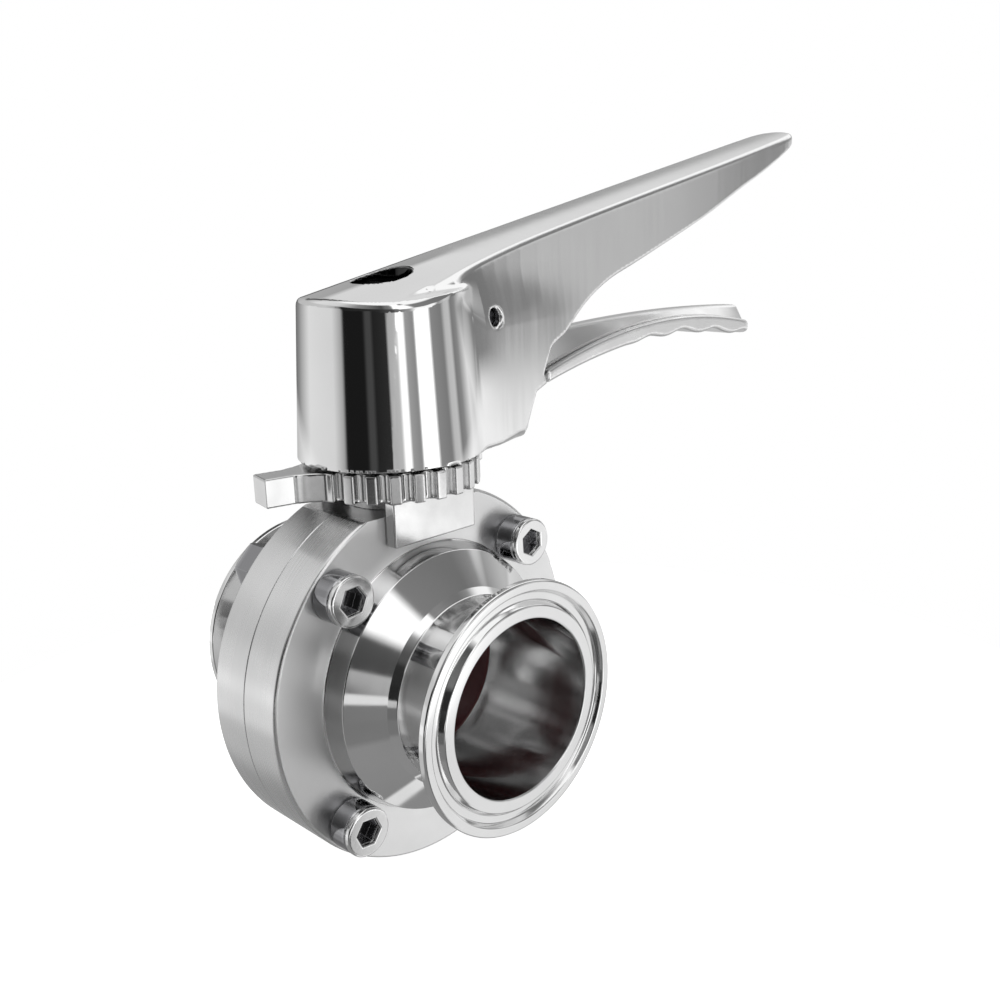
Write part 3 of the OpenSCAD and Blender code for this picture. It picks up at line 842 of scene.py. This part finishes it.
# Underside of the housing and arm, x against z; then half widths of the outlines from above, along x
HOUSING_FRONT = [(-40, HUB_Z), (27, HUB_Z), (28.6, HUB_Z + 1.6), (30, 51.6), (31.4, 54), (35.6, 55.3)]
ARM_ROOT = [(34.4, 57.4), (35.9, 60.3), (37.8, 63), (42.5, 65.2), (46.6, 68.6), (49.6, 70.8), (54, 73.4)]
ARM_UNDER = [(60, 76), (70, 79.2), (93.5, 87.2), (110.5, 93.9), (122, 98.2), (131.5, 102.2), (ARM_L, 105.6)]
HANDLE_SIDE = HOUSING_FRONT + smooth_curve(ARM_ROOT + ARM_UNDER, 4) + [(ARM_L, 120), (-40, 120)]
ARM_HALF_W = [(-40, 17), (-18, 17), (-11, 15.4), (-4, 13.9), (8, 12.6), (20, 10.9), (34, 9.7), (60, 9),
              (100, 8.6), (124, 7.9), (134, 7.2), (137.5, 6.0), (138.7, 3.4)]
ARM_PLAN = mirrored(smooth_curve(ARM_HALF_W, 3), [(ARM_L, -1), (ARM_L, 1)])
HOUSING_HALF_W = [(0, 15.2), (10, 15), (26, 12.4), (34, 10.9), (42, 9.9), (50, 9.35), (60, 9)]
HOUSING_PLAN = mirrored(smooth_curve(HOUSING_HALF_W, 3))
CHANNEL_HALF_W = [(12, 8), (26, 8), (40, 7.9), (52, 7), (60, 6.6), (110, 6), (124, 4.6)]
CHANNEL_PLAN = mirrored(smooth_curve(CHANNEL_HALF_W, 3))


def top_plane(x, z):
    """Height above the handle's sloping top plane."""
    return ((z - TOP_Z) - x * math.tan(ARM_RISE)) * math.cos(ARM_RISE)


def handle_distance(x, y, z):
    """Coned hub with a shoulder, the housing below it and the long arm that they run into."""
    side = outline(x, z, HANDLE_SIDE)
    top = top_plane(x, z) + TOP_CROWN * y * y
    r = np.hypot(x, y)
    lean = (HUB_FOOT_R - HUB_TOP_R) / (TOP_Z - HUB_Z)
    cone = (r - HUB_FOOT_R + (z - HUB_Z) * lean) * math.cos(math.atan(lean))
    ahead = np.maximum(side, -x)
    arm = outline(x, y, ARM_PLAN)
    wide = outline(x, y, HOUSING_PLAN)
    by_hub = blend_in(-x, -14, -7)
    rise = blend_in(z, LEAN_START_Z + (LEAN_START_BY_HUB_Z - LEAN_START_Z) * by_hub, LEAN_END_Z)
    wall = wide + (arm - wide) * rise * rise * (3 - 2 * rise)
    # The housing's edges are rounder at its front foot
    foot_edge = 0.9 + 1.3 * blend_in(x, 18, 24) * blend_in(-z, -52, -48)
    housing = meet(wall, ahead, foot_edge)
    hub = meet(cone, z - SHOULDER_Z, 0.4)
    upper = meet(arm, np.minimum(cone, ahead), 0.9)
    # The fillet above the shoulder fades out at the back, where the two walls are one
    upper = join(upper, hub, 0.001 + 0.5 * blend_in(x, -10, -3))
    solid = meet(np.minimum(upper, join(hub, housing, 1.0)), top, 1.2)
    solid = meet(solid, HUB_Z - z, 0.15)
    return hollow(x, y, z, solid, r, top)


def pin_hole(x, z):
    """Distance to the hole that the pivot pin runs in."""
    return np.hypot(x - PIVOT_X, z - PIVOT_Z) - PIN_R - RUNNING_GAP


def hollow(x, y, z, solid, r, top):
    """Takes the trigger's slot, the channel under the arm and the bores out of the handle."""
    roof = np.maximum(top + ROOF_T, (z - PIVOT_Z - 5.5 - np.maximum(x - 12, 0) * 0.66) * 0.83)
    slot = meet(outline(x, y, CHANNEL_PLAN), roof, 1.5)
    solid = cut(solid, slot, 0.9)
    from_spring = np.hypot(x - SPRING_X, y)
    peg = np.maximum(from_spring - SPRING_PEG_R, spring_hi.z - SPRING_PEG_L - z)
    seat_pad = np.maximum(from_spring - SPRING_SEAT_R, spring_hi.z - z)
    inside = np.maximum(np.minimum(peg, seat_pad), top + 1)
    solid = np.minimum(solid, inside)
    solid = cut(solid, np.maximum(r - COUNTERBORE_R, COUNTERBORE_Z - z), 0.35)
    solid = cut(solid, np.maximum(r - SCREW_HOLE_R, z - COUNTERBORE_Z - 1), 0.2)
    square = np.maximum(np.maximum(np.abs(x), np.abs(y)) - SQUARE_HALF_W, z - disc_hi.z - STEM_GAP)
    solid = cut(solid, square, 0.15)
    solid = cut(solid, np.maximum(r - STEM_R - STEM_GAP, z - SQUARE_Z), 0.2)
    return cut(solid, pin_hole(x, z), 1.0)


place("handle_body", surface("handle_body", handle_distance, handle_lo, handle_hi, step=0.5), "handle_steel")


# ---------- trigger, pin and spring ----------

def arch(x, crown_x, crown_z, flatness):
    """Height along x of a shallow arch."""
    return crown_z - (x - crown_x) ** 2 / flatness


def pad_top(x):
    """Upper face of the finger pad."""
    return arch(x, 84.6, 64.4, 286)


def pad_bottom(x):
    """Lower face of the finger pad, with its scallops."""
    scallops = 0.5 * blend_in(x, 66, 76) * np.cos(2 * math.pi * (x - 82) / 13.8)
    return arch(x, 87, 60.7, 364) - 0.8 * blend_in(x, 85, 106) - scallops


# Side of the lever inside the housing, x against z, down to the locking tooth
LEVER_SIDE = [(14.5, 68), (20.3, 74.6), (26, 69.8), (36, 69.8), (41, 64.4), (41, 55), (36, 55.6), (26, 58.6),
              (21.2, 56), (21.2, trigger_lo.z), (19.6, trigger_lo.z)]


def trigger_distance(x, y, z):
    """Finger pad and spine, and the lever that carries the locking tooth and the spring's cup."""
    across = np.abs(y)
    plan = np.maximum(across - GRIP_HALF_W, x - GRIP_L)
    corner_x = np.maximum(x - GRIP_L + GRIP_CORNER_R, 0)
    corner_y = np.maximum(across - GRIP_HALF_W + GRIP_CORNER_R, 0)
    plan = np.where((corner_x > 0) & (corner_y > 0), np.hypot(corner_x, corner_y) - GRIP_CORNER_R, plan)
    thick = np.maximum((z - pad_top(x)) * 0.97, (pad_bottom(x) - z) * 0.96)
    pad = meet(meet(plan, PAD_START_X - x, 1.2), thick, 0.9)
    groove_side = np.abs(across - PAD_GROOVE_Y) - PAD_GROOVE_HALF_W
    groove = np.maximum(groove_side, pad_top(x) - PAD_GROOVE_DEPTH - z)
    pad = cut(pad, groove, 0.15)
    crest, foot = arch(x, 79, 65.9, 990), pad_top(x)
    flare = SPINE_FLARE * np.clip((crest - z) / np.maximum(crest - foot, 0.8), 0, 1.2)
    spine = meet((across - SPINE_HALF_W - flare) * 0.75, np.maximum(z - crest, foot - 1.5 - z), 0.6)
    spine = meet(spine, slab(x, SPINE_START_X, GRIP_L - 1.8), 0.8)
    grip = join(pad, spine, 0.12)
    boss = np.hypot(x - PIVOT_X, z - PIVOT_Z) - PIVOT_BOSS_R
    lever = meet(np.minimum(boss, outline(x, z, LEVER_SIDE)), across - LEVER_HALF_W, 0.4)
    tooth_side = np.maximum(slab(x, PLATE_R + TOOTH_GAP, 20), slab(z, trigger_lo.z, PLATE_TOP_Z))
    tooth = meet(across - TOOTH_HALF_W, tooth_side, 0.15)
    whole = join(np.minimum(lever, tooth), grip, 0.8)
    cup = np.maximum(np.hypot(x - SPRING_X, y) - SPRING_CUP_R, spring_lo.z - z)
    whole = cut(whole, cup, 0.3)
    return cut(whole, pin_hole(x, z), 0.3)


place("trigger", surface("trigger", trigger_distance, trigger_lo, trigger_hi, step=0.36), "trigger_steel")

pin_points = [(0.01, pin_lo.y), (PIN_R, pin_lo.y), (PIN_R, pin_hi.y), (0.01, pin_hi.y)]
pin = drill(lathe("pin", rounded(pin_points, [0, 0.35, 0.35, 0]), "Y", 48))
pin.transform(Matrix.Translation((PIVOT_X * MM, 0, PIVOT_Z * MM)))
# Painted shade: the pin is near black for the shade in its recess
place("pivot_pin", pin, "painted_shade_steel", "fastener_steel")


def spring_mesh(turns=7, per_turn=48, sides=14):
    """Round wire coiled between the trigger and the arm, with closed end turns."""
    wire = SPRING_WIRE_R
    coil_r = (spring_hi.x - spring_lo.x) / 2 - wire
    low, high = spring_lo.z + wire, spring_hi.z - wire
    share = np.linspace(0, 1, turns * per_turn + 1)
    angle = share * turns * 2 * math.pi
    closed = 0.9 / turns
    pitch = np.clip((share - closed) / (1 - 2 * closed), 0, 1)
    height = low + (high - low) * (0.1 * share + 0.9 * pitch)
    points = []
    for a, h in zip(angle, height):
        for k in range(sides):
            b = 2 * math.pi * k / sides
            r = coil_r + wire * math.cos(b)
            points.append((SPRING_X + r * math.cos(a), r * math.sin(a), h + wire * math.sin(b)))
    start = len(points)
    for i in (0, -1):
        points.append((SPRING_X + coil_r * math.cos(angle[i]), coil_r * math.sin(angle[i]), height[i]))
    faces = []
    rings = len(share)
    for i in range(rings - 1):
        for k in range(sides):
            j = (k + 1) % sides
            faces.append((i * sides + k, i * sides + j, (i + 1) * sides + j, (i + 1) * sides + k))
    mesh = bpy.data.meshes.new("spring")
    last = (rings - 1) * sides
    for k in range(sides):
        j = (k + 1) % sides
        faces.append((j, k, start))
        faces.append((last + k, last + j, start + 1))
    mesh.from_pydata([tuple(c * MM for c in p) for p in points], [], faces)
    mesh.shade_smooth()
    return mesh


spring = place("trigger_spring", spring_mesh(), "spring_steel")
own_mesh(spring)


# ---------- floor, light and camera ----------

def make_floor():
    """Pale round floor just under the valve."""
    radius, middle_x, sides = 0.16, 0.03, 96
    mesh = bpy.data.meshes.new("floor")
    turns = [2 * math.pi * i / sides for i in range(sides)]
    rim = [(middle_x + radius * math.cos(a), radius * math.sin(a), 0) for a in turns]
    mesh.from_pydata(rim, [], [tuple(range(sides))])
    floor = bpy.data.objects.new("floor", mesh)
    floor.location.z = cad_box[0].z - 0.2 * MM
    SCENE.collection.objects.link(floor)
    made, shader, _ = material("floor")
    shader.inputs["Base Color"].default_value = (0.9, 0.9, 0.9, 1)
    shader.inputs["Roughness"].default_value = 0.6
    shader.inputs["Emission Color"].default_value = (1, 1, 1, 1)
    shader.inputs["Emission Strength"].default_value = 0.8
    mesh.materials.append(made)
    floor.visible_glossy = False


CAMERA_AZIMUTH = math.radians(-44.616)
# Brightness of the studio in eight belts, from the one underfoot to the one overhead. Each belt holds the
# height in degrees where it takes over from the belt below, and soft boxes and dark screens as
# (angle from the camera's side, brightness), with angles counted to the right.
ROOM = [
    ((-90, -89), [(-180, 0.3), (0, 0.3), (60, 0.28), (70, 0.9), (110, 0.9), (120, 0.3), (180, 0.3)]),
    ((-42, -38), [(-180, 0.6), (-60, 0.6), (-40, 0.25), (0, 0.2), (16, 0.25), (60, 0.12), (78, 0.12),
                  (82, 0.95), (96, 0.9), (110, 0.35), (180, 0.5)]),
    ((-26.5, -24), [(-180, 0.7), (-128, 0.9), (-60, 0.85), (-40, 0.1), (0, 0.2), (12, 0.25), (16, 0.3),
                    (46, 0.3), (54, 1.8), (84, 1.8), (89, 1.0), (130, 0.8), (180, 0.6)]),
    ((-15.5, -14), [(-180, 0.5), (-150, 0.6), (-132, 0.8), (-110, 1.1), (-75, 1.1), (-60, 0.9), (-47, 0.4),
                    (-44, 0.02), (-11, 0.03), (-7, 0.9), (13, 0.9), (16, 0.4), (20, 0.5), (23, 1.4),
                    (29, 1.4), (32, 0.4), (43, 0.3), (46, 1.6), (64, 1.6), (68, 0.4), (79, 0.4), (85, 1.1),
                    (125, 1.1), (160, 0.8), (180, 0.5)]),
    ((-9.5, -8), [(-180, 0.12), (-160, 0.15), (-140, 0.3), (-122, 0.6), (-108, 0.88), (-65, 0.82),
                  (-52, 0.45), (-48, 0.012), (-22, 0.012), (-18, 0.07), (-13, 0.07), (-9, 0.02), (7, 0.03),
                  (9.5, 0.5), (20, 0.6), (23, 1.4), (29, 1.4), (32, 0.4), (43, 0.3), (46, 1.6), (64, 1.6),
                  (68, 0.3), (85, 0.24), (91, 0.6), (99, 0.65), (104, 0.24), (112, 0.3), (130, 0.9),
                  (165, 0.4), (180, 0.12)]),
    ((3, 5), [(-180, 0.35), (-140, 0.6), (-75, 0.7), (-60, 0.5), (-50, 0.02), (0, 0.03), (19, 0.1), (40, 0.4),
              (48, 1.2), (74, 1.2), (80, 0.35), (92, 0.75), (99, 0.65), (104, 0.22), (112, 0.22), (130, 0.6),
              (180, 0.35)]),
    ((20, 25), [(-180, 0.85), (-168, 0.8), (-160, 0.08), (-142, 0.08), (-125, 0.6), (-100, 0.9), (-60, 0.8),
                (-30, 0.3), (5, 0.08), (16, 0.3), (20, 1.4), (42, 1.4), (48, 0.25), (100, 0.2), (112, 0.3),
                (120, 1.2), (150, 1.2), (165, 0.8), (180, 0.85)]),
    ((58, 66), [(-180, 1.2), (0, 1.2), (180, 1.2)]),
]


def room_stops(bands):
    """Ramp stops over the full circle of world angles, from angles that count from the camera's side."""
    offset = math.degrees(CAMERA_AZIMUTH) - 90
    placed = sorted((((a + offset) / 360 + 0.5) % 1, v) for a, v in bands[:-1])
    first, last = placed[0], placed[-1]
    gap = first[0] + 1 - last[0]
    edge = last[1] + (first[1] - last[1]) * (1 - last[0]) / gap
    return [(0.0, edge), *placed, (1.0, edge)]


def make_world():
    """Soft studio round the valve, lit by its belts, in front of a plain white backdrop."""
    world = bpy.data.worlds.new("studio")
    SCENE.world = world
    world.use_nodes = True
    tree = world.node_tree
    tree.nodes.clear()
    add = node_adder(tree)
    way = add("ShaderNodeTexCoord").outputs["Generated"]
    part = add("ShaderNodeSeparateXYZ", {0: way})
    angle = add("ShaderNodeMath", {0: part.outputs[1], 1: part.outputs[0]}, operation="ARCTAN2")
    share = add("ShaderNodeMath", {0: angle.outputs[0], 1: 1 / (2 * math.pi), 2: 0.5},
                operation="MULTIPLY_ADD")
    colour = None
    for (start, full), bands in ROOM:
        belt = ramp(add, share.outputs[0], room_stops(bands)).outputs["Color"]
        if colour is not None:
            low, high = math.sin(math.radians(start)), math.sin(math.radians(full))
            rise = add("ShaderNodeMapRange", {0: part.outputs[2], 1: low, 2: high, 3: 0.0, 4: 1.0})
            belts = add("ShaderNodeMix", {0: rise.outputs[0], 6: colour, 7: belt}, data_type="RGBA")
            belt = belts.outputs[2]
        colour = belt
    room = add("ShaderNodeBackground", {"Color": colour, "Strength": 1.0})
    backdrop = add("ShaderNodeBackground", {"Color": (1, 1, 1, 1), "Strength": 1.0})
    seen = add("ShaderNodeLightPath").outputs["Is Camera Ray"]
    mixed = add("ShaderNodeMixShader", {0: seen, 1: room.outputs[0], 2: backdrop.outputs[0]})
    add("ShaderNodeOutputWorld", {0: mixed.outputs[0]})


def make_camera():
    """Camera that looks at the valve from its front left, a little above it. Lengths are in mm."""
    azimuth, elevation, roll = CAMERA_AZIMUTH, math.radians(15.239), math.radians(-1.731)
    distance, shift_right, shift_up = 239.203, -20.582, -33.997
    level_right = Vector((math.cos(azimuth), math.sin(azimuth), 0))
    level_back = Vector((math.sin(azimuth), -math.cos(azimuth), 0))
    back = level_back * math.cos(elevation) + Vector((0, 0, math.sin(elevation)))
    level_up = back.cross(level_right)
    right = level_right * math.cos(roll) + level_up * math.sin(roll)
    up = level_up * math.cos(roll) - level_right * math.sin(roll)
    data = bpy.data.cameras.new("camera")
    data.sensor_width = 36
    data.lens = 40.65
    data.clip_start = 0.01
    camera = bpy.data.objects.new("camera", data)
    SCENE.collection.objects.link(camera)
    axes = Matrix((right, up, back)).transposed().to_4x4()
    spot = (distance * back - shift_right * right - shift_up * up) * MM
    camera.matrix_world = Matrix.Translation(spot) @ axes
    SCENE.camera = camera


make_floor()
make_world()
make_camera()
SCENE.view_settings.view_transform = "Standard"
